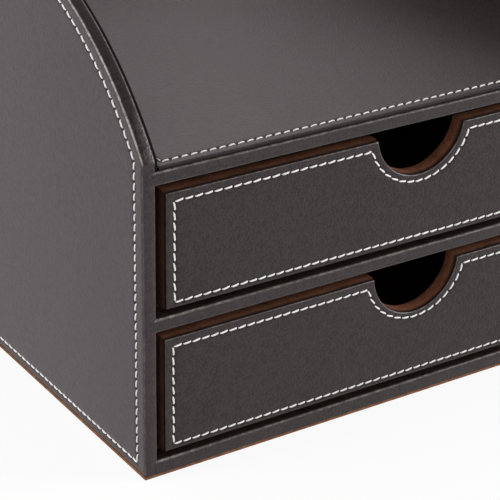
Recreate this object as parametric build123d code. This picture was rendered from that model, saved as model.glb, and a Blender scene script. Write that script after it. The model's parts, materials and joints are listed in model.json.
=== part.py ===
from build123d import *
import math
import os

# Document sorter: a leather-covered case with an open tray on top and two drawers below.
# Millimetres. X to the right, Y to the back, Z up, origin under the middle of the case.

# Case, outside
case_width = 255.0
case_depth = 335.0
side_height = 194.9          # side panel, from the felt to its flat top
shoulder_height = 132.9      # straight front edge of a side panel, from the felt up
shoulder_radius = 145.0      # long curve from the front edge to the flat top
rear_corner_radius = 6.0     # top rear corner of a side panel
back_drop = 8.0              # the back stops this far below the side tops

# Boards and sheets
side_board = 4.0
level_board = 4.1            # divider and shelf
base_board = 5.0
back_board = 4.0
front_board = 6.0            # drawer fronts
wall_board = 3.2             # drawer walls and floors
leather = 0.8
suede = 0.8
felt = 1.2
pad = 1.7                    # stitched pad on the shelf
tray_sheet = 1.1             # lining sheet on each side wall of the tray

# Leather details
fold_radius = 0.9            # rounding where leather folds over a board's edge
rim_radius = 0.35            # rounding of a leather edge that meets a lining
rail_return = 8.0            # leather turned in behind a front rail
tray_drop = 0.4              # the tray's lining sheets stop this far inside the panels' edges
pad_side_gap = 0.3           # from the pad to the tray's walls
pad_rounding = 0.7
felt_inset = 0.1             # from the case's edges to the felt's

# Drawer bays, clear heights between the linings
lower_bay_clear = 56.5
upper_bay_clear = 54.8

# Drawers
drawer_side_gap = 3.7        # from a drawer front to the side panel, on average
drawer_back_gap = 6.0
running_gap = 0.3            # under the drawer, where it slides on the bay's lining
wall_drop = 4.0              # drawer walls stop this far under the top of the front
facing_inset = 0.3           # the leather facing stops short of the front's edges
facing_rounding = 0.3
notch_radius = 20.9

lower_front_height = 49.8
lower_front_lift = 2.9       # bottom of the front above the floor of the bay
lower_shift = -0.3           # sideways play taken up at rest
lower_setback = 0.0          # front face behind the front of the case
lower_notch_shift = 1.2      # middle of the finger notch, to the right of the front's middle
lower_notch_rise = 1.2       # centre of the finger notch above the top of the front
upper_front_height = 48.5
upper_front_lift = 2.2
upper_shift = 0.9
upper_setback = 0.9
upper_notch_shift = -0.5
upper_notch_rise = 2.5

# Brads
brad_diameter = 1.2
brad_bite = 14.0             # length inside the second board
brad_end_margin = 24.0       # from a board's end to its first brad
brad_wall_margin = 12.0      # from a drawer wall's edge to its first brad
brads_per_edge = 5
brads_per_wall = 2
brads_per_floor = 4

# Levels and planes that the pieces share
half_width = case_width / 2
y_front = -case_depth / 2
y_rear = case_depth / 2
x_core_out = half_width - leather
x_core_in = x_core_out - side_board
x_inside = x_core_in - leather

y_core_front = y_front + leather
y_back_core_rear = y_rear - leather
y_back_core_front = y_back_core_rear - back_board
y_tray_rear = y_back_core_front - leather

z_top = felt + side_height
z_back_top = z_top - back_drop
z_base_top = felt + base_board
z_lower_bay = z_base_top + suede
z_divider = z_lower_bay + lower_bay_clear + suede
z_divider_top = z_divider + level_board
z_upper_bay = z_divider_top + suede
z_shelf = z_upper_bay + upper_bay_clear + suede
z_shelf_top = z_shelf + level_board
z_pad = z_shelf_top + leather

crown_z = z_top - shoulder_radius
shoulder_rise = felt + shoulder_height - crown_z
crown_y = y_front + math.sqrt(shoulder_radius**2 - shoulder_rise**2)


def slab(x0, x1, y0, y1, z0, z1):
    """Box between two corners."""
    middle = Pos((x0 + x1) / 2, (y0 + y1) / 2, (z0 + z1) / 2)
    return middle * Box(x1 - x0, y1 - y0, z1 - z0)


def spread(start, end, margin, count):
    """Even places between two ends, a margin in from each."""
    first = start + margin
    step = (end - start - 2 * margin) / max(count - 1, 1)
    return [first + step * i for i in range(count)]


def brad(head, tip):
    """Brad between two points, lying along one axis."""
    start = Vector(*head)
    run = Vector(*tip) - start
    lie = Plane(origin=start, z_dir=run)
    return lie * Cylinder(brad_diameter / 2, run.length, align=(Align.CENTER, Align.CENTER, Align.MIN))


def side_outline(inset):
    """Face of the side panel in the YZ plane, drawn in from the outside by an inset."""
    front = y_front + inset
    rear = y_rear - inset
    bottom = felt + inset
    top = z_top - inset
    radius = shoulder_radius - inset
    corner = rear_corner_radius - inset
    sweep = math.degrees(math.asin((crown_y - front) / radius))
    shoulder = CenterArc((crown_y, crown_z), radius, 90, sweep)
    front_edge = Line(shoulder @ 1, (front, bottom))
    bottom_edge = Line((front, bottom), (rear, bottom))
    rear_edge = Line((rear, bottom), (rear, top - corner))
    rear_corner = CenterArc((rear - corner, top - corner), corner, 0, 90)
    top_edge = Line((rear - corner, top), shoulder @ 0)
    return make_face([shoulder, front_edge, bottom_edge, rear_edge, rear_corner, top_edge])


def side_plate(inset, x0, x1):
    """Side panel outline as a plate between two X planes."""
    return extrude(Plane.YZ.offset(x0) * side_outline(inset), x1 - x0)


def front_outline(width, height, middle, notch_centre, inset):
    """Face of a drawer front in the XZ plane, with its finger notch."""
    panel = Pos(*middle) * Rectangle(width - 2 * inset, height - 2 * inset)
    notch = Pos(*notch_centre) * Circle(notch_radius + inset)
    return panel - notch


def front_plate(outline, y0, y1):
    """Outline in the XZ plane as a plate between two Y planes."""
    return extrude(Plane.XZ.offset(-y0) * outline, -(y1 - y0))


def side_panel(side, sign):
    """One side: core, outer leather folded over the edges, inner lining."""
    core = side_plate(leather, x_core_out, x_core_in)
    lining = side_plate(leather, x_core_in, x_inside)
    cover = side_plate(0, half_width, x_inside) - core - lining
    outer_fold = cover.faces().sort_by(Axis.X)[-1].edges()
    cover = fillet(outer_fold, fold_radius)
    rim = cover.faces().sort_by(Axis.X)[0].outer_wire().edges()
    cover = fillet(rim, rim_radius)
    if sign < 0:
        core = mirror(core, Plane.YZ)
        lining = mirror(lining, Plane.YZ)
        cover = mirror(cover, Plane.YZ)
    return {
        side + "_side_board": core,
        side + "_side_lining": lining,
        side + "_side_cover": cover,
    }


def tray_lining(sign):
    """Sheet on the inside of a side panel, from the shelf's leather to just under the panel's edge."""
    x_sheet = x_inside - tray_sheet
    panel = side_plate(tray_drop, x_sheet, x_inside)
    sheet = panel & slab(x_sheet, x_inside, y_front, y_tray_rear, z_pad, z_top)
    return mirror(sheet, Plane.YZ) if sign < 0 else sheet


def level_boards():
    """Base, divider and shelf, from the front leather to the back board."""
    spans = {
        "base_board": (felt, z_base_top),
        "divider_board": (z_divider, z_divider_top),
        "shelf_board": (z_shelf, z_shelf_top),
    }
    return {
        name: slab(-x_inside, x_inside, y_core_front, y_back_core_front, z0, z1)
        for name, (z0, z1) in spans.items()
    }


def front_rail(z_board, z_board_top, y_over, y_under):
    """Leather down a board's front edge, folded back over it and, if y_under is given, under it."""
    x = x_inside
    z_low = z_board if y_under is None else z_board - leather
    z_high = z_board_top + leather
    strip = slab(-x, x, y_front, y_core_front, z_low, z_high)
    strip += slab(-x, x, y_core_front, y_over, z_board_top, z_high)
    if y_under is not None:
        strip += slab(-x, x, y_core_front, y_under, z_low, z_board)
    folds = strip.edges().filter_by(Axis.X).group_by(Axis.Y)[0].sort_by(Axis.Z)
    if y_under is None:
        folds = folds[-1:]
    return fillet(folds, fold_radius)


def rails():
    """Leather on the front edges of the three level boards."""
    y_turned = y_front + rail_return
    return {
        "base_rail_leather": front_rail(felt, z_base_top, y_turned, None),
        "divider_rail_leather": front_rail(z_divider, z_divider_top, y_turned, y_turned),
        "shelf_leather": front_rail(z_shelf, z_shelf_top, y_tray_rear, y_turned),
    }


def shelf_pad():
    """Pad on the shelf, flush with the front, its front edges rounded."""
    x = x_inside - tray_sheet - pad_side_gap
    mat = slab(-x, x, y_front, y_tray_rear - pad_side_gap, z_pad, z_pad + pad)
    front_edges = mat.edges().filter_by(Axis.X).group_by(Axis.Y)[0]
    return fillet(front_edges, pad_rounding)


def back_panel():
    """Back board, leather over its rear face and top edge, and its tray lining."""
    x = x_inside
    core_top = z_back_top - leather
    core = slab(-x, x, y_back_core_front, y_back_core_rear, felt, core_top)
    lining = slab(-x, x, y_tray_rear, y_back_core_front, z_shelf_top, core_top)
    rear_sheet = slab(-x, x, y_back_core_rear, y_rear, felt, z_back_top)
    cap = slab(-x, x, y_tray_rear, y_rear, core_top, z_back_top)
    cover = rear_sheet + cap
    top_edges = cover.edges().filter_by(Axis.X).group_by(Axis.Z)[-1]
    return {
        "back_board": core,
        "back_lining": lining,
        "back_cover": fillet(top_edges, rim_radius),
    }


def bay_lining(z0, z1):
    """Suede sleeve in a bay, between the boards, from the turned-in leather to the back."""
    x = x_inside
    y = y_front + rail_return
    outside = slab(-x, x, y, y_back_core_front, z0, z1)
    inside = slab(suede - x, x - suede, y, y_back_core_front - suede, z0 + suede, z1 - suede)
    return outside - inside


def case_brads():
    """Brads from the sides into the level boards and the back."""
    levels = [
        felt + base_board / 2,
        z_divider + level_board / 2,
        z_shelf + level_board / 2,
    ]
    tip = x_inside - brad_bite
    places = [
        (y, z)
        for z in levels
        for y in spread(y_core_front, y_back_core_front, brad_end_margin, brads_per_edge)
    ]
    y_back = (y_back_core_front + y_back_core_rear) / 2
    places += [
        (y_back, z)
        for z in spread(felt, z_back_top, brad_end_margin, brads_per_edge)
    ]
    return [
        brad((sign * x_core_out, y, z), (sign * tip, y, z))
        for sign in (-1, 1)
        for y, z in places
    ]


def case():
    """Everything that stays still."""
    boards = level_boards()
    strips = rails()
    back = back_panel()
    sides = {**side_panel("left", -1), **side_panel("right", 1)}
    brads = case_brads()

    parts = {**boards, **back, **sides}
    for name in (*boards, "back_board", *sides):
        if not name.endswith("cover"):
            parts[name] = parts[name] - brads
    parts.update(strips)
    parts["left_tray_lining"] = tray_lining(-1)
    parts["right_tray_lining"] = tray_lining(1)
    parts["shelf_pad"] = shelf_pad()
    parts["lower_bay_lining"] = bay_lining(z_base_top, z_divider)
    parts["upper_bay_lining"] = bay_lining(z_divider_top, z_shelf)
    x = half_width - felt_inset
    y = case_depth / 2 - felt_inset
    parts["base_felt"] = slab(-x, x, -y, y, 0, felt)
    parts["case_brads"] = Compound(brads)
    return parts


def drawer_front(width, height, middle, notch_centre, y_facing):
    """Notched front: leather facing, board, and suede over the board's edges and rear."""
    y_board = y_facing + leather
    y_board_rear = y_board + front_board
    y_box = y_board_rear + suede
    facing_face = front_outline(width, height, middle, notch_centre, facing_inset)
    board_face = front_outline(width, height, middle, notch_centre, suede)
    suede_face = front_outline(width, height, middle, notch_centre, 0)
    facing = front_plate(facing_face, y_facing, y_board)
    board = front_plate(board_face, y_board, y_board_rear)
    return {
        "facing": fillet(facing.faces().sort_by(Axis.Y)[0].edges(), facing_rounding),
        "front_board": board,
        "front_suede": front_plate(suede_face, y_board, y_box) - board,
    }


def drawer_box(x0, x1, y0, y1, z0, z1):
    """Box behind a front: floor and walls, suede outside and over the walls' tops, suede inside."""
    skin = suede + wall_board
    z_floor = z0 + suede
    z_walls = z_floor + wall_board
    z_wall_top = z1 - suede
    floor = slab(x0 + suede, x1 - suede, y0, y1 - suede, z_floor, z_walls)
    left = slab(x0 + suede, x0 + skin, y0, y1 - suede, z_walls, z_wall_top)
    right = slab(x1 - skin, x1 - suede, y0, y1 - suede, z_walls, z_wall_top)
    back = slab(x0 + skin, x1 - skin, y1 - skin, y1 - suede, z_walls, z_wall_top)
    hollow = slab(x0 + skin, x1 - skin, y0, y1 - skin, z_walls, z1)
    use = slab(x0 + skin + suede, x1 - skin - suede, y0, y1 - skin - suede, z_walls + suede, z1)
    return {
        "floor": floor,
        "left_wall": left,
        "right_wall": right,
        "back_wall": back,
        "wrap": slab(x0, x1, y0, y1, z0, z1) - hollow - floor - left - right - back,
        "lining": hollow - use,
    }


def drawer_brads(x0, x1, y_board, y_box, y1, z0, z1):
    """Brads from the front into the walls, up through the floor, and into the back wall."""
    z_floor = z0 + suede
    z_walls = z_floor + wall_board
    heights = spread(z_walls, z1 - suede, brad_wall_margin, brads_per_wall)
    y_back = y1 - suede - wall_board / 2
    brads = []
    for edge, inward in ((x0 + suede, 1), (x1 - suede, -1)):
        x = edge + inward * wall_board / 2
        tip = edge + inward * (wall_board + brad_bite)
        brads += [brad((x, y_board, z), (x, y_box + brad_bite, z)) for z in heights]
        brads += [brad((edge, y_back, z), (tip, y_back, z)) for z in heights]
        brads += [
            brad((x, y, z_floor), (x, y, z_walls + brad_bite))
            for y in spread(y_box, y1, brad_end_margin, brads_per_floor)
        ]
    return brads


def drawer(name, bay_floor, height, lift, shift, setback, notch_shift, notch_rise):
    """One drawer: its front and the suede-covered box behind it."""
    width = 2 * (x_inside - drawer_side_gap)
    x0 = shift - width / 2
    x1 = shift + width / 2
    y_facing = y_front + setback
    y_board = y_facing + leather
    y_box = y_board + front_board + suede
    y1 = y_back_core_front - suede - drawer_back_gap
    bottom = bay_floor + lift
    z0 = bay_floor + running_gap
    z1 = bottom + height - wall_drop
    middle = (shift, bottom + height / 2)
    notch_centre = (shift + notch_shift, bottom + height + notch_rise)

    brads = drawer_brads(x0, x1, y_board, y_box, y1, z0, z1)
    pieces = drawer_front(width, height, middle, notch_centre, y_facing)
    pieces.update(drawer_box(x0, x1, y_box, y1, z0, z1))
    for bored in ("front_board", "front_suede", "floor", "left_wall", "right_wall", "back_wall"):
        pieces[bored] = pieces[bored] - brads
    pieces["brads"] = Compound(brads)
    return {f"{name}_drawer_{piece}": shape for piece, shape in pieces.items()}


parts = {
    **case(),
    **drawer(
        "lower",
        z_lower_bay,
        lower_front_height,
        lower_front_lift,
        lower_shift,
        lower_setback,
        lower_notch_shift,
        lower_notch_rise,
    ),
    **drawer(
        "upper",
        z_upper_bay,
        upper_front_height,
        upper_front_lift,
        upper_shift,
        upper_setback,
        upper_notch_shift,
        upper_notch_rise,
    ),
}

os.makedirs("parts", exist_ok=True)
for name, shape in parts.items():
    export_step(shape, f"parts/{name}.step")
    print(name, "written")
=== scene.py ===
import bmesh
import bpy
import json
import math
from mathutils import Matrix, Vector, noise


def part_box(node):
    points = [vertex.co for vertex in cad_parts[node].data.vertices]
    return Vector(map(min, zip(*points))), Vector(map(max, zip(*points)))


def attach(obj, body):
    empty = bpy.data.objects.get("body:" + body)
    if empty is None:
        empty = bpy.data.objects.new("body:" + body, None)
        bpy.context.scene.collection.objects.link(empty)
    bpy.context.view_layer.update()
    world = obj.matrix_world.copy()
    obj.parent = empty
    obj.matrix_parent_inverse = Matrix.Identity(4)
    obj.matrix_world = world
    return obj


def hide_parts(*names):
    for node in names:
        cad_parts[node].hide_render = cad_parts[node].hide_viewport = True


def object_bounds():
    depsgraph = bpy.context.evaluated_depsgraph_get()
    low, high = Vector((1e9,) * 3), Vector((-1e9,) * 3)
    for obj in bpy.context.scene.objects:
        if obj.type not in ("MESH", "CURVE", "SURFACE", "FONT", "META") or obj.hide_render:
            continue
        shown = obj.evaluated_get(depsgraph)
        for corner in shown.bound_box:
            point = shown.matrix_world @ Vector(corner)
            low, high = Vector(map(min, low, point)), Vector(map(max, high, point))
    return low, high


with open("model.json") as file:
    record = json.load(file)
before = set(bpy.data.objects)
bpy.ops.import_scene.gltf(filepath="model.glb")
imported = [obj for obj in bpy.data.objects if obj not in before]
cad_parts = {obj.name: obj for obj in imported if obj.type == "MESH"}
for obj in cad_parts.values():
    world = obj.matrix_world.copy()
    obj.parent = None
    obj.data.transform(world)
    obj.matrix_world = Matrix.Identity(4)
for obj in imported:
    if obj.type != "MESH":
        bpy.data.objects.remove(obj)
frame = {"nodes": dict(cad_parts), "record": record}
cadLow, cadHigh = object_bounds()
nodes = frame["nodes"]
mm = 0.001               # sizes of pieces and grain are set in millimetres, the scene is in metres
print("frame loaded with", len(nodes), "nodes")


# Node trees: a socket that takes part in Python sums, and the tree that it belongs to
class Socket:
    def __init__(self, owner, link):
        self.owner = owner
        self.link = link

    def maths(self, operation, first, second):
        return self.owner.add("ShaderNodeMath", {"operation": operation}, {0: first, 1: second})

    def __add__(self, other):
        return self.maths("ADD", self, other)

    def __radd__(self, other):
        return self.maths("ADD", other, self)

    def __sub__(self, other):
        return self.maths("SUBTRACT", self, other)

    def __rsub__(self, other):
        return self.maths("SUBTRACT", other, self)

    def __mul__(self, other):
        return self.maths("MULTIPLY", self, other)

    def __rmul__(self, other):
        return self.maths("MULTIPLY", other, self)

    def __pow__(self, other):
        return self.maths("POWER", self, other)

    def most(self, other):
        return self.maths("MAXIMUM", self, other)

    def wave(self):
        return self.maths("SINE", self, 0.0)

    def beside(self, output):                     # another output of the same node
        return Socket(self.owner, self.link.node.outputs[output])


class NodeTree:
    def __init__(self, tree):
        self.tree = tree
        self.tree.nodes.clear()

    def add(self, kind, settings, inputs, output=0):
        node = self.tree.nodes.new(kind)
        for key, value in settings.items():
            if key == "capture_items":            # what a Capture Attribute node carries along
                node.capture_items.new(*value)
            else:
                setattr(node, key, value)
        for key, value in inputs.items():
            if isinstance(value, Socket):
                self.tree.links.new(value.link, node.inputs[key])
            else:
                node.inputs[key].default_value = value
        return Socket(self, node.outputs[output]) if len(node.outputs) else None

    def place(self):
        return self.add("ShaderNodeTexCoord", {}, {}, "Object")

    def attribute(self, name):                    # a number that the mesh carries at each point
        return self.add("ShaderNodeAttribute", {"attribute_name": name}, {}, "Fac")

    def colours(self, share, first, second):      # blend of two colours
        sockets = {0: share, 6: first, 7: second}   # by number, because its colours share their names
        return self.add("ShaderNodeMix", {"data_type": "RGBA"}, sockets, 2)

    def between(self, value, low, high):          # 0 below low, 1 above high, eased
        settings = {"interpolation_type": "SMOOTHSTEP"}
        return self.add("ShaderNodeMapRange", settings, {"Value": value, "From Min": low, "From Max": high})

    def total(self, noises, shares):              # noises added up, each by its share
        return sum(noises[label] * share for label, share in shares.items())

    def cloud(self, place, size, detail=2.0):     # noise whose lumps are about this many millimetres
        inputs = {"Vector": place, "Scale": 1 / (size * mm), "Detail": detail}
        return self.add("ShaderNodeTexNoise", {}, inputs)

    def cells(self, place, size):                 # soft cells about this many millimetres across
        inputs = {"Vector": place, "Scale": 1 / (size * mm)}
        return self.add("ShaderNodeTexVoronoi", {"feature": "SMOOTH_F1"}, inputs)

    def bump(self, height, depth):
        return self.add("ShaderNodeBump", {}, {"Height": height, "Distance": depth * mm, "Strength": 1.0})

    def close(self, inputs):
        shader = self.add("ShaderNodeBsdfPrincipled", {}, inputs)
        self.add("ShaderNodeOutputMaterial", {}, {"Surface": shader})


def newFinish(name):
    material = bpy.data.materials.new(name)
    material.use_nodes = True
    return material, NodeTree(material.node_tree)


def opaque(colour, paintedTint=(1.0, 1.0, 1.0)):
    return (*[channel * gain for channel, gain in zip(colour, paintedTint)], 1.0)


leatherLook = {
    "deep": (0.0066, 0.0042, 0.0038),   # in the pores and between the grain
    "pale": (0.0245, 0.0172, 0.0160),   # on the high spots
    "wearAndHighlight": (0.3600, 0.3300, 0.3050),   # rubbed folds, and the painted highlight along folds
    "cutEdgeAndShade": (0.0050, 0.0040, 0.0038),    # cut edges, and painted shade in creases, seam furrows, rolled edges and the curved edge
    "cutEdgeAndShadeRoughness": 0.85,
    "cutEdgeAndShadeDull": 0.7,                     # share of the shine lost there, which darkens the painted shade: a dark metal mirrors next to nothing
    "sizes": {"pebble": 0.85, "pore": 0.3825, "blotch": 3.2, "patch": 2.6, "sweep": 38.0},
    "high": {"pebble": 0.5, "pore": 0.5, "blotch": 0.45, "sweep": 0.2},   # what lifts a spot
    "highRange": (0.60, 0.90),
    "grain": {"pebble": 0.8, "pore": 0.35},       # what the bump follows
    "uneven": {"sweep": 0.08, "pore": 0.06},      # what roughens the shine
    "wearLight": {"patch": 0.5, "speck": 0.4},          # the wear and the painted highlight come in patches and specks
    "wearLightLeast": 0.3,
    "patchRange": (0.42, 0.62),
    "speckRange": (0.44, 0.62),
    "litCopies": {                          # lit and shaded copies of one leather, each tuned to how its panels are lit; gloss tints the shine
        "leather": {"gloss": (1.0, 0.90, 0.95), "ior": 1.45, "roughness": 0.27, "depth": 0.15},
        "side": {"gloss": (1.0, 0.86, 0.97), "ior": 1.47, "roughness": 0.27, "depth": 0.15,
                 "flatPaintedTint": (1.1, 0.93, 1.2), "flatGrain": 0.4},   # its flat face gets a painted plum tint, standing in for a tinted reflection, and is smoother
        "front": {"gloss": (1.0, 0.90, 0.93), "ior": 1.42, "roughness": 0.27, "depth": 0.17},
        "pad": {"gloss": (1.0, 0.90, 0.95), "ior": 1.48, "roughness": 0.32, "depth": 0.15},
    },
}


def espressoLeather(litCopyName):
    look = leatherLook
    sizes = look["sizes"]
    litCopy = look["litCopies"][litCopyName]
    material, finish = newFinish("espresso" + litCopyName.capitalize())
    place = finish.place()
    noises = {
        "pebble": finish.cells(place, sizes["pebble"]),
        "pore": finish.cloud(place, sizes["pore"]),
        "blotch": finish.cloud(place, sizes["blotch"], detail=3.0),
        "sweep": finish.cloud(place, sizes["sweep"]),
    }
    breaks = {
        "patch": finish.between(finish.cloud(place, sizes["patch"], detail=3.0), *look["patchRange"]),
        "speck": finish.between(noises["pore"], *look["speckRange"]),
    }
    wearLight = finish.attribute("wearAndLight")                # wear and painted highlight above 0; cut edges and painted shade below
    wearAndHighlight = wearLight.most(0.0) * (finish.total(breaks, look["wearLight"]) + look["wearLightLeast"])
    cutEdgeAndShade = (wearLight * -1).most(0.0)
    high = finish.between(finish.total(noises, look["high"]), *look["highRange"])
    grain = finish.total(noises, look["grain"])
    colour = finish.colours(high, opaque(look["deep"]), opaque(look["pale"]))
    if "flatPaintedTint" in litCopy:
        paintedTint = litCopy["flatPaintedTint"]
        flat = finish.attribute("flat")
        tinted = finish.colours(high, opaque(look["deep"], paintedTint), opaque(look["pale"], paintedTint))
        colour = finish.colours(flat, colour, tinted)
        grain = grain * (1 - flat * (1 - litCopy["flatGrain"]))
    colour = finish.colours(wearAndHighlight, colour, opaque(look["wearAndHighlight"]))
    dulled = cutEdgeAndShade * (look["cutEdgeAndShadeRoughness"] - litCopy["roughness"])
    finish.close({
        "Base Color": finish.colours(cutEdgeAndShade, colour, opaque(look["cutEdgeAndShade"])),
        "Roughness": litCopy["roughness"] + finish.total(noises, look["uneven"]) + dulled,
        "Metallic": cutEdgeAndShade * look["cutEdgeAndShadeDull"],
        "Normal": finish.bump(grain, litCopy["depth"]),
        "IOR": litCopy["ior"],
        "Specular Tint": opaque(litCopy["gloss"]),
    })
    return material


suedeLook = {
    "deep": (0.054, 0.0185, 0.0085),
    "pale": (0.244, 0.0960, 0.0500),
    # painted shade where the suede dips to the leather and in the gaps at its ends
    "crease": (0.0085, 0.0062, 0.0052),
    "sizes": {"nap": 0.35, "brushed": 2.2, "stroke": 7.0},   # brushed: patches where the nap lies another way
    "lift": {"nap": 0.65, "brushed": 0.3, "stroke": 0.25},
    "liftRange": (0.38, 0.84),
    "depth": 0.10,
    "roughness": 0.86,
    "uneven": 0.12,
    "shine": 0.12,
    "sheen": {"Sheen Weight": 0.06, "Sheen Roughness": 0.45, "Sheen Tint": (0.60, 0.30, 0.18, 1.0)},
}


def rustSuede():
    look = suedeLook
    material, finish = newFinish("rustSuede")
    place = finish.place()
    noises = {label: finish.cloud(place, size, detail=3.0) for label, size in look["sizes"].items()}
    share = finish.between(finish.total(noises, look["lift"]), *look["liftRange"])
    colour = finish.colours(share, opaque(look["deep"]), opaque(look["pale"]))
    # painted shade in the crease and at the ends and foot
    dip = (finish.attribute("wearAndLight") * -1).most(0.0)
    finish.close({
        "Base Color": finish.colours(dip, colour, opaque(look["crease"])),
        "Roughness": look["roughness"] + noises["nap"] * look["uneven"],
        "Normal": finish.bump(noises["nap"], look["depth"]),
        "Specular IOR Level": look["shine"],
        **look["sheen"],
    })
    return material


feltLook = {
    "deep": (0.13, 0.050, 0.020),
    "pale": (0.30, 0.140, 0.065),
    "fibre": 0.5,
    "tuft": 4.0,
    "lift": {"fibre": 0.6, "tuft": 0.5},
    "liftRange": (0.36, 0.76),
    "depth": 0.2,
    "roughness": 0.9,
    "uneven": 0.08,
    "shine": 0.2,
}


def brownFelt():
    look = feltLook
    material, finish = newFinish("brownFelt")
    place = finish.place()
    noises = {
        "fibre": finish.cloud(place, look["fibre"], detail=4.0),
        "tuft": finish.cloud(place, look["tuft"]),
    }
    share = finish.between(finish.total(noises, look["lift"]), *look["liftRange"])
    finish.close({
        "Base Color": finish.colours(share, opaque(look["deep"]), opaque(look["pale"])),
        "Roughness": look["roughness"] + noises["fibre"] * look["uneven"],
        "Normal": finish.bump(noises["fibre"], look["depth"]),
        "Specular IOR Level": look["shine"],
    })
    return material


threadLook = {
    "ply": (0.95, 0.935, 0.90),
    # painted shade in the grooves between the plies
    "furrow": (0.84, 0.81, 0.76),
    "furrowRange": (0.0, 0.45),
    "twists": 5.0,                      # turns of the plies along one stitch
    "plies": 2,
    "depth": 0.05,
    "roughness": 0.70,
    "uneven": 0.1,
    "sheen": 0.2,
}


def creamThread():
    look = threadLook
    material, finish = newFinish("creamThread")
    turn = finish.attribute("along") * look["twists"] + finish.attribute("around") * look["plies"]
    ridge = (turn * (2 * math.pi)).wave() * 0.5 + 0.5
    share = finish.between(ridge, *look["furrowRange"])
    finish.close({
        "Base Color": finish.colours(share, opaque(look["furrow"]), opaque(look["ply"])),
        "Roughness": look["roughness"] + ridge * look["uneven"],
        "Normal": finish.bump(ridge, look["depth"]),
        "Sheen Weight": look["sheen"],
    })
    return material


boardLook = {
    "deep": (0.25, 0.155, 0.085),
    "pale": (0.47, 0.330, 0.205),
    "fibre": 0.8,
    "depth": 0.08,
    "roughness": 0.8,
    "uneven": 0.1,
}


def rawFibreboard():
    look = boardLook
    material, finish = newFinish("rawFibreboard")
    fibre = finish.cloud(finish.place(), look["fibre"], detail=4.0)
    finish.close({
        "Base Color": finish.colours(fibre, opaque(look["deep"]), opaque(look["pale"])),
        "Roughness": look["roughness"] + fibre * look["uneven"],
        "Normal": finish.bump(fibre, look["depth"]),
    })
    return material


bradLook = {
    "deep": (0.42, 0.42, 0.43),
    "pale": (0.62, 0.62, 0.62),
    "drawn": 0.4,
    "roughness": 0.32,
    "uneven": 0.12,
}


def bradSteel():
    look = bradLook
    material, finish = newFinish("bradSteel")
    drawn = finish.cloud(finish.place(), look["drawn"])
    finish.close({
        "Base Color": finish.colours(drawn, opaque(look["deep"]), opaque(look["pale"])),
        "Roughness": look["roughness"] + drawn * look["uneven"],
        "Metallic": 1.0,
    })
    return material


finishes = {
    **{litCopyName: espressoLeather(litCopyName) for litCopyName in leatherLook["litCopies"]},
    "suede": rustSuede(),
    "base_felt": brownFelt(),
    "fibreboard": rawFibreboard(),
    "brad_steel": bradSteel(),
    "thread": creamThread(),
}
slotOfNode = {part["node"]: part["material_slot"] for part in frame["record"]["subparts"]}
for nodeName, cadPiece in nodes.items():
    cadPiece.data.materials.clear()
    cadPiece.data.materials.append(finishes[slotOfNode[nodeName]])
print("finishes made:", ", ".join(finishes))


# Flat outlines. Each is a list of runs from corner to corner, drawn in by an inset for each edge.
arcSteps = {"long": 72, "corner": 16}


def arcPoints(centre, radius, start, end, count=arcSteps["long"]):
    angles = [start + (end - start) * i / count for i in range(count + 1)]
    return [Vector((centre[0] + radius * math.cos(a), centre[1] + radius * math.sin(a))) for a in angles]


def evenly(run, count):
    lengths = [0.0]
    for before, after in zip(run, run[1:]):
        lengths.append(lengths[-1] + (after - before).length)
    points = []
    k = 0
    for i in range(count + 1):
        goal = lengths[-1] * i / count
        while k < len(run) - 2 and lengths[k + 1] < goal:
            k += 1
        step = lengths[k + 1] - lengths[k]
        share = (goal - lengths[k]) / step if step > 0 else 0.0
        points.append(run[k].lerp(run[k + 1], min(share, 1.0)))
    return points


def runLength(run):
    return sum((after - before).length for before, after in zip(run, run[1:]))


def rectangle(low, high, inset):
    left, right = low[0] + inset["left"], high[0] - inset["right"]
    bottom, top = low[1] + inset["bottom"], high[1] - inset["top"]
    corners = [(left, bottom), (right, bottom), (right, top), (left, top), (left, bottom)]
    corners = [Vector(corner) for corner in corners]
    return [[before, after] for before, after in zip(corners, corners[1:])]


def sidePanel(low, high, crown, cornerRadius, inset):
    front, rear = low[0] + inset["front"], high[0] - inset["rear"]
    bottom, top = low[1] + inset["bottom"], high[1] - inset["top"]
    radius = high[1] - crown[1] - inset["top"]
    lean = math.asin((crown[0] - front) / radius)
    shoulder = arcPoints(crown, radius, math.pi / 2 + lean, math.pi / 2)
    corner = max(cornerRadius - (inset["top"] + inset["rear"]) / 2, 0.0)
    bend = arcPoints((rear - corner, top - corner), corner, math.pi / 2, 0, arcSteps["corner"])
    half = arcSteps["corner"] // 2
    frontFoot, rearFoot = Vector((front, bottom)), Vector((rear, bottom))
    return [[frontFoot, shoulder[0]], shoulder + bend[:half + 1],
            bend[half:] + [rearFoot], [rearFoot, frontFoot]]


def notchedPanel(low, high, notchCentre, notchRadius, inset):
    left, right = low[0] + inset["left"], high[0] - inset["right"]
    bottom, top = low[1] + inset["bottom"], high[1] - inset["top"]
    radius = notchRadius + inset["notch"]
    drop = math.asin((notchCentre[1] - top) / radius)
    notch = arcPoints(notchCentre, radius, math.pi + drop, 2 * math.pi - drop)
    corners = [Vector(c) for c in ((right, top), (right, bottom), (left, bottom), (left, top))]
    return [[corners[3], notch[0]], notch, [notch[-1], corners[0]],
            [corners[0], corners[1]], [corners[1], corners[2]], [corners[2], corners[3]]]


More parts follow.
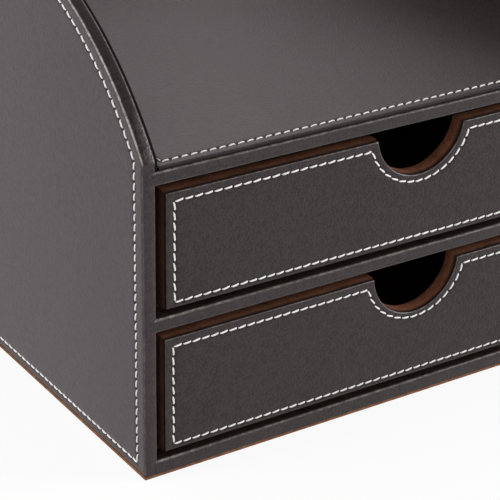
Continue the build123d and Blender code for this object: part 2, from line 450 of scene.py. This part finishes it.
# Stitched panels: loops of points lofted from the hidden side, over the folds, to the middle of the face
seamLook = {
    "pitch": 4.1,            # millimetres from stitch to stitch
    "samples": 4,            # points to each stitch
    "furrow": 0.26,          # how deep the thread pulls the leather in
    "shade": 0.4,            # how dark the furrow is
    "pucker": 0.10,          # and how much deeper at each needle hole
    "puckerReach": 0.6,
    "lead": 1.7,             # where the leather begins to dip, outside the seam
    # across the furrow: place, share of the depth, share of the shade
    "section": [(-0.9, 0.25, 0.2), (-0.45, 0.8, 0.8), (0.0, 1.0, 1.0), (0.45, 0.8, 0.8), (0.9, 0.25, 0.2)],
    "inner": [1.9, 3.5, 5.0],   # rings of the flat face inside the seam
}
wobbleLook = {
    "leather": (0.09, 21.0),     # unevenness of hand-turned leather, and the length of its waves
    "suede": (0.24, 7.0),
    "seed": 5,
}
noise.seed_set(wobbleLook["seed"])
meshLook = {
    "merge": 0.002,          # points nearer than this become one
    "sharp": 50.0,           # degrees, past which an edge isn't smoothed
}


def metres(sizes):
    return {label: size * mm for label, size in sizes.items()}


def wobbled(point, finishName="leather"):
    depth, wave = wobbleLook.get(finishName, wobbleLook["leather"])
    return point + noise.noise_vector(point / (wave * mm)) * depth * mm


def stitchCounts(outline, seam):
    pitch = seamLook["pitch"] * mm
    return [max(1, round(runLength(run) / pitch)) for run in outline(seam)]


# A ring is its kind, offset, height and mark: wear and painted highlight above 0, cut edges and painted shade
# below. The mark is one for all runs, or a list with one for each run.
# Each is a number, or a rule that takes how far along its run a point is.
def panelLoops(outline, seam, rings, place):
    counts = stitchCounts(outline, seam)
    samples = seamLook["samples"]
    loops = []
    for kind, offset, height, wearAndLight in rings:
        onSeam = kind == "seam"
        base = seam if onSeam else dict.fromkeys(seam, 0.0)
        inset = {edge: value + offset * mm for edge, value in base.items()}
        pucker = seamLook["pucker"] if onSeam and abs(offset) < seamLook["puckerReach"] else 0.0
        loop = []
        runWearsAndLight = wearAndLight if isinstance(wearAndLight, list) else [wearAndLight] * len(counts)
        for run, count, runWearAndLight in zip(outline(inset), counts, runWearsAndLight):
            for i, point in enumerate(evenly(run, count * samples)[:-1]):
                hole = 0.5 + 0.5 * math.cos(2 * math.pi * i / samples)
                wearLight = runWearAndLight(i / (count * samples)) if callable(runWearAndLight) else runWearAndLight
                loop.append((place(point, (height - pucker * hole) * mm), wearLight, float(onSeam)))
        loops.append(loop)
    return loops


def bridge(bm, rows):                             # closed skin over rows of points
    for before, after in zip(rows, rows[1:]):
        for i in range(len(before)):
            j = (i + 1) % len(before)
            bm.faces.new((before[i], before[j], after[j], after[i]))
    bm.faces.new(rows[0])
    bm.faces.new(rows[-1])


def loft(name, loops, finishName="leather"):
    bm = bmesh.new()
    wearAndLightLayer = bm.verts.layers.float.new("wearAndLight")
    flatLayer = bm.verts.layers.float.new("flat")
    rows = []
    for loop in loops:
        row = []
        for point, wearAndLight, flat in loop:
            vert = bm.verts.new(wobbled(point, finishName))
            vert[wearAndLightLayer] = wearAndLight
            vert[flatLayer] = flat
            row.append(vert)
        rows.append(row)
    bridge(bm, rows)
    bmesh.ops.remove_doubles(bm, verts=bm.verts, dist=meshLook["merge"] * mm)
    bmesh.ops.recalc_face_normals(bm, faces=bm.faces)
    return meshPiece(name, bm, finishes[finishName])


def meshPiece(name, bm, material):
    mesh = bpy.data.meshes.new(name)
    bm.to_mesh(mesh)
    bm.free()
    mesh.shade_smooth()
    mesh.set_sharp_from_angle(angle=math.radians(meshLook["sharp"]))
    mesh.materials.append(material)
    piece = bpy.data.objects.new(name, mesh)
    bpy.context.scene.collection.objects.link(piece)
    return piece


foldLook = {
    "steps": 6,
    "narrow": 4,             # the pale line on a fold, wear and painted highlight, is narrower the higher this is
}


def foldRings(reach, drop, start, wearAndLight, runShares):  # rounding from an edge's face to the front face
    rings = []
    for i in range(foldLook["steps"] + 1):
        angle = math.pi / 2 * (1 - i / foldLook["steps"])
        offset = start + reach * (1 - math.sin(angle))
        height = -drop * (1 - math.cos(angle))
        ringWearAndLight = wearAndLight * math.sin(angle * 2) ** foldLook["narrow"]
        rings.append(("edge", offset, height, [ringWearAndLight * share for share in runShares]))
    return rings


def seamRings(lead=seamLook["lead"]):             # furrow under the stitches, then the flat middle
    rings = [("seam", -lead, 0.0, 0.0)]
    for offset, depth, shade in seamLook["section"]:
        rings.append(("seam", offset, -seamLook["furrow"] * depth, -seamLook["shade"] * shade))
    return rings + [("seam", offset, 0.0, 0.0) for offset in seamLook["inner"]]


# Stitches: a Geometry Nodes tree that lays one short thread on each step of a seam
stitchLook = {
    "taper": 0.40,           # share of the width that is lost at the two ends
    "arch": 0.24,            # middle of the thread above the furrow
    "dive": 1.6,             # how far the ends go down, in shares of the arch
    "flat": 6,               # even number; the thread is flatter on top the higher this is
    "slant": 7.0,            # degrees across the seam
    "uneven": 2.5,           # degrees, at random
    "sides": 7,
    "steps": 9,
}


def stitchTree():
    tree = bpy.data.node_groups.new("stitchRow", "GeometryNodeTree")
    wanted = {
        "Seam": "Geometry", "Pitch": "Float", "Length": "Float", "Width": "Float", "Arch": "Float",
        "Slant": "Float", "Uneven": "Float", "Face": "Vector", "Seed": "Int", "Thread": "Material",
    }
    for label, kind in wanted.items():
        tree.interface.new_socket(name=label, in_out="INPUT", socket_type="NodeSocket" + kind)
    tree.interface.new_socket(name="Stitches", in_out="OUTPUT", socket_type="NodeSocketGeometry")
    graph = NodeTree(tree)
    source = graph.add("NodeGroupInput", {}, {})
    given = {label: source.beside(label) for label in wanted}
    onPoints = {"data_type": "FLOAT", "domain": "POINT"}

    # one stitch, along X, flat on top, diving and tapering into its two holes
    half = given["Length"] * given["Pitch"] * 0.5
    ends = {
        "Start": graph.add("ShaderNodeCombineXYZ", {}, {0: half * -1}),
        "End": graph.add("ShaderNodeCombineXYZ", {}, {0: half}),
    }
    arch = graph.add("GeometryNodeCurvePrimitiveLine", {"mode": "POINTS"}, ends)
    arch = graph.add("GeometryNodeResampleCurve", {"mode": "COUNT"},
                     {"Curve": arch, "Count": stitchLook["steps"]})
    run =graph.add("GeometryNodeSplineParameter", {}, {}, "Factor")
    outer = (run * 2 - 1) ** stitchLook["flat"]   # 0 in the middle, 1 at the ends
    rise = graph.add("ShaderNodeCombineXYZ", {}, {2: given["Arch"] * (1 - outer * stitchLook["dive"])})
    arch = graph.add("GeometryNodeSetPosition", {}, {"Geometry": arch, "Offset": rise})
    swell = 1 - outer * stitchLook["taper"]
    arch = graph.add("GeometryNodeStoreNamedAttribute", onPoints,
                     {"Geometry": arch, "Name": "along", "Value": run})
    ring = graph.add("GeometryNodeCurvePrimitiveCircle", {},
                     {"Resolution": stitchLook["sides"], "Radius": given["Width"] * 0.5})
    ring = graph.add("GeometryNodeStoreNamedAttribute", onPoints,
                     {"Geometry": ring, "Name": "around", "Value": run})
    stitch = graph.add("GeometryNodeCurveToMesh", {},
                       {"Curve": arch, "Profile Curve": ring, "Scale": swell, "Fill Caps": True})

    # one point for each step of the seam, with the step's direction
    steps = graph.add("GeometryNodeResampleCurve", {"mode": "LENGTH"},
                      {"Curve": given["Seam"], "Length": given["Pitch"]})
    steps = graph.add("GeometryNodeCurveToMesh", {}, {"Curve": steps})
    end = graph.add("GeometryNodeInputMeshEdgeVertices", {}, {}, "Position 2")
    start = end.beside("Position 1")
    heading = graph.add("ShaderNodeVectorMath", {"operation": "SUBTRACT"}, {0: end, 1: start})
    steps = graph.add("GeometryNodeCaptureAttribute",
                      {"domain": "EDGE", "capture_items": ("VECTOR", "heading")},
                      {"Geometry": steps, "heading": heading})
    points = graph.add("GeometryNodeMeshToPoints", {"mode": "EDGES"}, {"Mesh": steps})

    # each stitch turned along its step, face up, with a slant that is a little uneven
    turn = graph.add("FunctionNodeAlignRotationToVector", {"axis": "X"}, {"Vector": steps.beside("heading")})
    turn = graph.add("FunctionNodeAlignRotationToVector", {"axis": "Z", "pivot_axis": "X"},
                     {"Rotation": turn, "Vector": given["Face"]})
    chance = graph.add("FunctionNodeRandomValue", {"data_type": "FLOAT"},
                       {2: -1.0, 3: 1.0, "Seed": given["Seed"]}, 1)   # 2 and 3 are its least and its most
    lean = graph.add("ShaderNodeCombineXYZ", {}, {2: given["Slant"] + chance * given["Uneven"]})
    lean = graph.add("FunctionNodeEulerToRotation", {}, {"Euler": lean})
    turn = graph.add("FunctionNodeRotateRotation", {"rotation_space": "LOCAL"},
                     {"Rotation": turn, "Rotate By": lean})
    rows = graph.add("GeometryNodeInstanceOnPoints", {},
                     {"Points": points, "Instance": stitch, "Rotation": turn})
    rows = graph.add("GeometryNodeRealizeInstances", {}, {"Geometry": rows})
    rows = graph.add("GeometryNodeSetMaterial", {}, {"Geometry": rows, "Material": given["Thread"]})
    graph.add("NodeGroupOutput", {}, {"Stitches": rows})
    return tree


stitchRow = stitchTree()


def seamCurve(name, runs):
    curve = bpy.data.curves.new(name, "CURVE")
    curve.dimensions = "3D"
    for run in runs:
        spline = curve.splines.new("POLY")
        spline.points.add(len(run) - 1)
        for spot, point in zip(spline.points, run):
            spot.co = (*point, 1.0)
    seam = bpy.data.objects.new(name, curve)
    bpy.context.scene.collection.objects.link(seam)
    return seam


def stitchPiece(name, runs, face, thread, slantSign, seed, body):
    seam = seamCurve(name + "Seam", runs)
    values = {
        "Pitch": seamLook["pitch"] * mm,
        "Length": thread["share"],
        "Width": thread["width"] * mm,
        "Arch": stitchLook["arch"] * mm,
        "Slant": math.radians(stitchLook["slant"]) * slantSign,
        "Uneven": math.radians(stitchLook["uneven"]),
        "Face": face,
        "Seed": seed,
        "Thread": finishes["thread"],
    }
    row = seam.modifiers.new("stitchRow", "NODES")
    row.node_group = stitchRow
    for item in stitchRow.interface.items_tree:
        if item.in_out == "INPUT" and item.name in values:
            row[item.identifier] = values[item.name]
    bpy.context.view_layer.update()
    evaluated = seam.evaluated_get(bpy.context.evaluated_depsgraph_get())
    mesh = bpy.data.meshes.new_from_object(evaluated)
    mesh.name = name
    seam.modifiers.remove(row)
    bpy.data.objects.remove(seam)
    mesh.shade_smooth()
    piece = bpy.data.objects.new(name, mesh)
    bpy.context.scene.collection.objects.link(piece)
    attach(piece, body)
    print(name, "has", len(mesh.polygons), "faces")


def seamRuns(outline, seam, place):
    depth = -seamLook["furrow"] * mm
    runs = []
    for run, count in zip(outline(seam), stitchCounts(outline, seam)):
        spaced = evenly(run, count * seamLook["samples"])
        runs.append([wobbled(place(point, depth)) for point in spaced])
    return runs


def stitchedPanel(name, litCopy, node, body, panel, rings, look, seed, slantSign=1):
    outline, place, face = panel
    seam = metres(look["seam"])
    piece = loft(name, panelLoops(outline, seam, rings, place), litCopy)
    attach(piece, body)
    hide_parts(node)
    runs = seamRuns(outline, seam, place)
    stitchPiece(name + "Stitches", runs, face, look["thread"], slantSign, seed, body)
    print(name, "has", len(piece.data.polygons), "faces")
    return piece


# Side covers: leather on the outer face, folded over every edge to the lining
sideLook = {
    "seam": {"front": 6.1, "top": 5.4, "rear": 5.4, "bottom": 4.0},   # to the edge, millimetres
    "leather": 0.8,
    "turnIn": 1.2,           # how far the leather goes in behind the edge
    "fold": 1.0,
    "foldLead": 0.35,        # flat leather beside the fold
    # painted highlight along the outer fold, brightest on the curve
    "foldHighlight": 1.5,
    "rim": 0.6,              # rounding towards the inside of the case
    "rimSteps": 4,
    # painted highlight on the rounding towards the inside
    "rimHighlight": 0.40,
    "runShares": [0.12, 1.0, 0.35, 0.0],   # shares of the painted highlights for the front edge, curve and top, rear edge, foot
    "crown": 0.16,           # swell of the folded edge across its width
    "crownSteps": 8,
    "curveSheen": 0.26,         # painted sheen at the foot of the curve, on the inner half of the edge
    "curveSheenReach": 0.16,    # share of the curve and the top over which it fades
    "curveShade": 0.45,          # painted shade: how dark the edge is a little above that
    "curveShadeReach": 0.42,
    "shoulder": 145.0,       # radius of the long curve
    "straight": 132.9,       # straight front edge, up to the curve
    "corner": 6.0,
    "thread": {"share": 0.76, "width": 0.74},   # share of the pitch that shows as thread, and millimetres
    "seed": 11,
}


def shoulderCentre(low, high):
    centreZ = high.z - sideLook["shoulder"] * mm
    rise = low.z + sideLook["straight"] * mm - centreZ
    return low.y + math.sqrt((sideLook["shoulder"] * mm) ** 2 - rise ** 2), centreZ


def curveSheenAndShade(across):                          # painted sheen at the inner foot of the curve, and painted shade above it
    most = sideLook["curveSheen"] * (1 - across)

    def rule(share):
        pale = most * max(0.0, 1 - share / sideLook["curveSheenReach"])
        dark = sideLook["curveShade"] * math.sin(math.pi * min(1.0, share / sideLook["curveShadeReach"])) ** 2
        return pale - dark

    return rule


def sideCover(side, sign):
    look = sideLook
    node = side + "_side_cover"
    low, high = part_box(node)
    width = (high.x - low.x) / mm
    outside = high.x if sign > 0 else low.x
    crown = shoulderCentre(low, high)

    def outline(inset):
        return sidePanel((low.y, low.z), (high.y, high.z), crown, look["corner"] * mm, inset)

    def place(point, height):
        return Vector((outside + sign * height, point[0], point[1]))

    crest, fold, rim = look["crown"], look["fold"], look["rim"]
    rings = [("edge", look["turnIn"], -look["leather"], 0.0), ("edge", look["turnIn"], -width, 0.0)]
    for i in range(look["rimSteps"] + 1):
        angle = math.pi / 2 * i / look["rimSteps"]
        wearAndLight = [look["rimHighlight"] * math.sin(angle) ** 2 * share for share in look["runShares"]]
        offset = crest + rim * (1 - math.sin(angle))
        rings.append(("edge", offset, -width + rim * (1 - math.cos(angle)), wearAndLight))
    for i in range(1, look["crownSteps"]):
        across = i / look["crownSteps"]
        height = -width + rim + (width - rim - fold) * across
        rings.append(("edge", crest * (2 * across - 1) ** 2, height, [0.0, curveSheenAndShade(across), 0.0, 0.0]))
    rings += foldRings(fold, fold, crest, look["foldHighlight"], look["runShares"])
    rings += [("edge", crest + fold + look["foldLead"], 0.0, 0.0)]
    rings += seamRings()
    panel = (outline, place, (sign, 0.0, 0.0))
    stitchedPanel(side + "SideCover", "side", node, "case", panel, rings, look, look["seed"] + sign, sign)


# Tray linings: the thin sheets inside the open top, whose cut edge shows along the curve
trayLook = {
    "cut": 0.25,             # rounding of the cut edge
    "border": 4.0,           # how far in from the edge the sheet is modelled as rings
}


def trayLining(side, sign):
    node = side + "_tray_lining"
    low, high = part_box(node)
    thickness = (high.x - low.x) / mm
    inside = low.x if sign > 0 else high.x
    crown = shoulderCentre(*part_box(side + "_side_cover"))

    def outline(inset):
        return sidePanel((low.y, low.z), (high.y, high.z), crown, 0.0, inset)

    def place(point, height):
        return Vector((inside - sign * height, point[0], point[1]))

    cut, border = trayLook["cut"], trayLook["border"]
    rings = [("edge", border, -thickness, 0.0), ("edge", 0.0, -thickness, -1.0), ("edge", 0.0, -cut, -1.0),
             ("edge", cut, 0.0, -1.0), ("edge", cut * 2, 0.0, 0.0), ("edge", border, 0.0, 0.0)]
    atEdge = dict.fromkeys(sideLook["seam"], 0.0)
    piece = loft(side + "TrayLining", panelLoops(outline, atEdge, rings, place))
    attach(piece, "case")
    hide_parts(node)


for sideName, sideSign in (("left", -1), ("right", 1)):
    sideCover(sideName, sideSign)
    trayLining(sideName, sideSign)
print("sides covered")


# Shelf pad: a thin mat with rolled edges
padLook = {
    "seam": {"left": 3.4, "right": 3.4, "bottom": 4.6, "top": 4.6},   # bottom is the front edge
    "rollReach": 1.3,        # how far in the rolled edge begins to fall
    "rollShade": 0.8,        # how dark it is at its foot
    "rollFoot": 75.0,        # degrees below the level that the roll turns under
    "rollSteps": 12,
    "turnIn": 1.0,
    "thread": {"share": 0.72, "width": 0.62},
    "seed": 23,
}


def shelfPad():
    look = padLook
    low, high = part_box("shelf_pad")
    thickness = (high.z - low.z) / mm

    def outline(inset):
        return rectangle((low.x, low.y), (high.x, high.y), inset)

    def place(point, height):
        return Vector((point[0], point[1], high.z + height))

    reach = look["rollReach"]
    rings = [("edge", reach + look["turnIn"], -thickness, 0.0)]
    for i in range(look["rollSteps"] + 1):
        angle = math.radians(-look["rollFoot"] + (90 + look["rollFoot"]) * i / look["rollSteps"])
        offset = reach * (1 - math.cos(angle))
        height = -thickness / 2 * (1 - math.sin(angle))
        rings.append(("edge", offset, height, -look["rollShade"] * min(1.0, 1 - math.sin(angle))))
    rings += seamRings()
    panel = (outline, place, (0.0, 0.0, 1.0))
    piece = stitchedPanel("shelfPad", "pad", "shelf_pad", "case", panel, rings, look, look["seed"])


shelfPad()


# Rails: leather folded over the front edges of the level boards, a closed section drawn out along X
railLook = {
    "leather": 0.8,
    "fold": 0.95,
    "foldLead": 1.5,         # where the flat leather begins, in shares of the fold
    "foldSteps": 6,
    "under": 8.0,            # leather turned in under the board
    # pale line on the top fold: wear and a painted highlight
    "topWearAndHighlight": 0.34,
    "lowWear": 0.10,
    "endRub": 1.3,           # how much more the two ends are rubbed
    "endReach": 16.0,
    "tuck": 1.1,             # how far the ends run in under the sides
    "step": 4.0,             # from section to section
}


def strip(name, profile, wearAndLight, x0, x1, endRub=0.0):
    count = max(2, round((x1 - x0) / (railLook["step"] * mm)))
    bm = bmesh.new()
    wearAndLightLayer = bm.verts.layers.float.new("wearAndLight")
    rows = []
    for i in range(count + 1):
        x = x0 + (x1 - x0) * i / count
        gain = 1 + endRub * math.exp(-min(x - x0, x1 - x) / (railLook["endReach"] * mm))
        row = []
        for point, wearLight in zip(profile, wearAndLight):
            vert = bm.verts.new(wobbled(Vector((x, point[0], point[1]))))
            vert[wearAndLightLayer] = wearLight * gain
            row.append(vert)
        rows.append(row)
    bridge(bm, rows)
    bmesh.ops.recalc_face_normals(bm, faces=bm.faces)
    return meshPiece(name, bm, finishes["leather"])


def railSection(y0, yOver, yUnder, z0, z1):
    fold, thick = railLook["fold"] * mm, railLook["leather"] * mm
    lead, steps = fold * railLook["foldLead"], railLook["foldSteps"]
    quarter = [(math.pi / 2 * i / steps, math.sin(math.pi * i / steps)) for i in range(steps + 1)]
    section = [(yOver, z1 - thick, 0.0), (yOver, z1, 0.0), (y0 + lead, z1, 0.0)]
    for angle, bulge in quarter:
        y = y0 + fold * (1 - math.sin(angle))
        section.append((y, z1 - fold * (1 - math.cos(angle)), railLook["topWearAndHighlight"] * bulge))
    section.append((y0, z1 - lead, 0.0))
    if yUnder is None:
        section += [(y0, z0, 0.0), (y0 + thick, z0, 0.0)]
    else:
        section.append((y0, z0 + lead, 0.0))
        for angle, bulge in quarter:
            y = y0 + fold * (1 - math.cos(angle))
            section.append((y, z0 + fold * (1 - math.sin(angle)), railLook["lowWear"] * bulge))
        section += [(y0 + lead, z0, 0.0), (yUnder, z0, 0.0)]
        section += [(yUnder, z0 + thick, 0.0), (y0 + thick, z0 + thick, 0.0)]
    section.append((y0 + thick, z1 - thick, 0.0))
    return [Vector((y, z)) for y, z, wearAndLight in section], [wearAndLight for y, z, wearAndLight in section]


def rail(name, node, turnedUnder):
    low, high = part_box(node)
    under = low.y + railLook["under"] * mm if turnedUnder else None
    profile, wearAndLight = railSection(low.y, high.y, under, low.z, high.z)
    tuck = railLook["tuck"] * mm
    piece = strip(name, profile, wearAndLight, low.x - tuck, high.x + tuck, railLook["endRub"])
    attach(piece, "case")
    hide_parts(node)


# Back cover: leather on the rear face, capped over the top of the board
backLook = {
    "seam": {"left": 5.4, "right": 5.4, "bottom": 4.0, "top": 5.4},
    "leather": 0.8,
    "turnIn": 1.4,
    "rounding": 0.7,
    "roundingLead": 0.3,     # flat leather beside the rounding
    "roundingWear": 0.3,
    "runShares": [0.0, 0.6, 1.0, 0.6],     # foot, right, top, left
    "capCorner": 0.45,
    "capWear": [0.0, 0.2, 0.2, 0.1, 0.0],
    "thread": {"share": 0.78, "width": 0.74},
    "seed": 31,
}


def backCover():
    look = backLook
    low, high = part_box("back_cover")
    thick = look["leather"]
    rounding = look["rounding"]

    def outline(inset):
        return rectangle((low.x, low.z), (high.x, high.z), inset)

    def place(point, height):
        return Vector((point[0], high.y + height, point[1]))

    rings = [("edge", look["turnIn"], -thick, 0.0), ("edge", 0.0, -thick, 0.0)]
    rings += foldRings(rounding, rounding, 0.0, look["roundingWear"], look["runShares"])
    rings += [("edge", rounding + look["roundingLead"], 0.0, 0.0)]
    rings += seamRings()
    panel = (outline, place, (0.0, 1.0, 0.0))
    stitchedPanel("backCover", "leather", "back_cover", "case", panel, rings, look, look["seed"])


def backCap():
    low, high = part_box("back_cover")
    corner = backLook["capCorner"] * mm
    rear, foot = high.y - backLook["leather"] * mm, high.z - backLook["leather"] * mm
    profile = [(low.y, foot), (low.y, high.z - corner), (low.y + corner, high.z)]
    profile += [(rear, high.z), (rear, foot)]
    piece = strip("backCap", profile, backLook["capWear"], low.x, high.x)
    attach(piece, "case")


rail("baseRail", "base_rail_leather", False)
rail("dividerRail", "divider_rail_leather", True)
rail("shelfLeather", "shelf_leather", True)
backCover()
backCap()
print("rails and back covered")


# Drawer fronts: leather facing with a notch, on a board wrapped in suede
frontLook = {
    "seam": {"left": 3.9, "right": 3.9, "bottom": 2.75, "top": 3.9, "notch": 4.2},
    "seamLift": {"lower": 1.6, "upper": 1.1},   # the sewn arc is centred this much above the notch
    "seamLead": 1.1,
    "cutReach": 2.5,         # arcs nearer to the edge than this follow the notch
    "notchRadius": 20.9,
    "notchPlace": {"lower": (1.2, 1.2), "upper": (-0.5, 2.5)},   # right of the middle, above the top
    "facingInset": 0.3,
    "rounding": 0.60,        # reach of the rounded edge on the face
    "roundingDrop": 0.50,
    "roundingLead": 0.3,
    # pale line on the rounded edge: wear and a painted highlight
    "edgeWearAndHighlight": 0.50,
    "runShares": [0.9, 1.0, 0.9, 0.4, 0.3, 0.25],   # top, notch, top, right, foot, left
    "turnIn": 1.0,
    "thread": {"share": 0.80, "width": 0.74},
    "seed": {"lower": 41, "upper": 47},
}
wrapLook = {
    "suede": 0.8,
    "fold": 0.75,
    "crease": 1.8,           # how far back the suede dips to the leather
    # into the crease: shares of the suede's thickness and of the crease, and the painted shade there
    "dip": [(0.9, 0.0, -1.0), (0.5, 0.2, -1.0), (0.15, 0.55, -0.7)],
    "gapShade": [0.0, 0.0, 0.0, -0.6, -0.3, -0.6],   # painted shade on the suede at the two ends and the foot, in the gaps beside the case and the rail
    "turnIn": 1.0,
}


def frontOutline(drawer, low, high):
    shift, rise = frontLook["notchPlace"][drawer]
    middle = (low.x + high.x) / 2 + shift * mm
    radius = frontLook["notchRadius"] * mm

    def outline(inset):
        lift = frontLook["seamLift"][drawer] * mm if inset["notch"] > frontLook["cutReach"] * mm else 0.0
        centre = (middle, high.z + rise * mm + lift)
        return notchedPanel((low.x, low.z), (high.x, high.z), centre, radius, inset)

    return outline


def drawerFacing(drawer, body, outline):
    look = frontLook
    node = body + "_facing"
    low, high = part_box(node)
    thickness = (high.y - low.y) / mm

    def place(point, height):
        return Vector((point[0], low.y - height, point[1]))

    inset, rounding = look["facingInset"], look["rounding"]
    rings = [("edge", inset + look["turnIn"], -thickness, -1.0), ("edge", inset, -thickness, -1.0)]
    rings += foldRings(rounding, look["roundingDrop"], inset, look["edgeWearAndHighlight"], look["runShares"])
    rings += [("edge", inset + rounding + look["roundingLead"], 0.0, 0.0)]
    rings += seamRings(look["seamLead"])
    panel = (outline, place, (0.0, -1.0, 0.0))
    stitchedPanel(drawer + "Facing", "front", node, body, panel, rings, look, look["seed"][drawer])


def drawerSuede(drawer, body, outline):
    look = wrapLook
    node = body + "_front_suede"
    low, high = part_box(node)
    depth = (high.y - low.y) / mm

    def place(point, height):
        return Vector((point[0], high.y + height, point[1]))

    wrap, fold, crease = look["suede"], look["fold"], look["crease"]
    rings = [("edge", wrap, -wrap, -1.0), ("edge", wrap, -depth, -1.0)]
    rings += [("edge", wrap * inward, -depth + crease * back, wearAndLight) for inward, back, wearAndLight in look["dip"]]
    rings += [("edge", 0.0, -depth + crease, look["gapShade"]), ("edge", 0.0, -fold, look["gapShade"])]
    rings += foldRings(fold, fold, 0.0, 0.0, look["gapShade"])[1:]
    rings += [("edge", fold + look["turnIn"], 0.0, 0.0)]
    piece = loft(drawer + "FrontSuede", panelLoops(outline, metres(frontLook["seam"]), rings, place), "suede")
    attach(piece, body)
    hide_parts(node)


for drawerName in ("lower", "upper"):
    drawerBody = drawerName + "_drawer"
    frontShape = frontOutline(drawerName, *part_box(drawerBody + "_front_suede"))
    drawerFacing(drawerName, drawerBody, frontShape)
    drawerSuede(drawerName, drawerBody, frontShape)
print("drawer fronts covered")


# Stage, light and camera
stageLook = {
    "floorSize": 6.0,        # metres
    "floorDrop": 0.05,       # millimetres under the felt
    "floor": (0.93, 0.93, 0.93),
    "floorGlow": 0.85,       # share of plain white that the camera sees
    "wall": 1.18,            # pale wall at the back and the sides
    "tint": (1.0, 0.965, 0.975),
    "ceiling": 0.18,         # dim ceiling, which comes down towards the front
    "ceilingSide": (0.0, -0.9, 1.0),
    "ceilingRange": (0.10, 0.80),
}


def seenDirectly(finish):
    seen = finish.add("ShaderNodeLightPath", {}, {}, "Is Camera Ray")
    return seen.most(seen.beside("Is Glossy Ray")).most(seen.beside("Is Transmission Ray"))


def studioFloor():
    bm = bmesh.new()
    bmesh.ops.create_grid(bm, x_segments=1, y_segments=1, size=stageLook["floorSize"] / 2)
    material, finish = newFinish("paleFloor")
    diffuse = finish.add("ShaderNodeBsdfDiffuse", {}, {"Color": opaque(stageLook["floor"])})
    glow = finish.add("ShaderNodeEmission", {}, {"Color": (1.0, 1.0, 1.0, 1.0), "Strength": 1.0})
    share = seenDirectly(finish) * stageLook["floorGlow"]
    surface = finish.add("ShaderNodeMixShader", {}, {0: share, 1: diffuse, 2: glow})
    finish.add("ShaderNodeOutputMaterial", {}, {"Surface": surface})
    floor = meshPiece("studioFloor", bm, material)
    floor.location.z = cadLow.z - stageLook["floorDrop"] * mm


def studioSky():
    world = bpy.data.worlds.new("studioSky")
    world.use_nodes = True
    bpy.context.scene.world = world
    sky = NodeTree(world.node_tree)
    sides = {0: sky.add("ShaderNodeTexCoord", {}, {}, "Generated"), 1: stageLook["ceilingSide"]}
    above = sky.add("ShaderNodeVectorMath", {"operation": "DOT_PRODUCT"}, sides, "Value")
    share = sky.between(above, *stageLook["ceilingRange"])
    strength = stageLook["wall"] + share * (stageLook["ceiling"] - stageLook["wall"])
    light = sky.add("ShaderNodeBackground", {}, {"Color": opaque(stageLook["tint"]), "Strength": strength})
    sky.add("ShaderNodeOutputWorld", {}, {"Surface": light})


lampLook = {
    "key": {"place": (-0.90, -0.35, 1.30), "size": (1.6, 0.6), "power": 15.0},
    "fill": {"place": (1.20, -0.85, 0.52), "size": (0.7, 0.5), "power": 17.0},
}


def lamp(name, look):
    data = bpy.data.lights.new(name, "AREA")
    data.shape = "RECTANGLE"
    data.size, data.size_y = look["size"]
    data.energy = look["power"]
    light = bpy.data.objects.new(name, data)
    light.location = look["place"]
    aim = (cadLow + cadHigh) / 2 - Vector(look["place"])
    light.rotation_euler = aim.to_track_quat("-Z", "Y").to_euler()
    bpy.context.scene.collection.objects.link(light)


photoView = {
    "place": (-0.45538, -0.74173, 0.42122),
    "yaw": 33.137,           # degrees to the right of straight ahead
    "pitch": 25.906,         # degrees down
    "roll": 0.906,
    "lens": 143.8,           # millimetres
    "sensor": 36.0,
    "clip": (0.01, 50.0),    # metres
}


def photoCamera():
    data = bpy.data.cameras.new("photoCamera")
    data.sensor_width = photoView["sensor"]
    data.lens = photoView["lens"]
    data.clip_start, data.clip_end = photoView["clip"]
    camera = bpy.data.objects.new("photoCamera", data)
    turn = Matrix.Rotation(math.radians(-photoView["yaw"]), 4, "Z")
    tilt = Matrix.Rotation(math.radians(90 - photoView["pitch"]), 4, "X")
    roll = Matrix.Rotation(math.radians(photoView["roll"]), 4, "Z")
    camera.matrix_world = Matrix.Translation(photoView["place"]) @ turn @ tilt @ roll
    bpy.context.scene.collection.objects.link(camera)
    bpy.context.scene.camera = camera


studioFloor()
studioSky()
for lampName, lampValues in lampLook.items():
    lamp(lampName + "Lamp", lampValues)
photoCamera()
bpy.context.scene.view_settings.view_transform = "Standard"
print("stage, lamps and camera set")
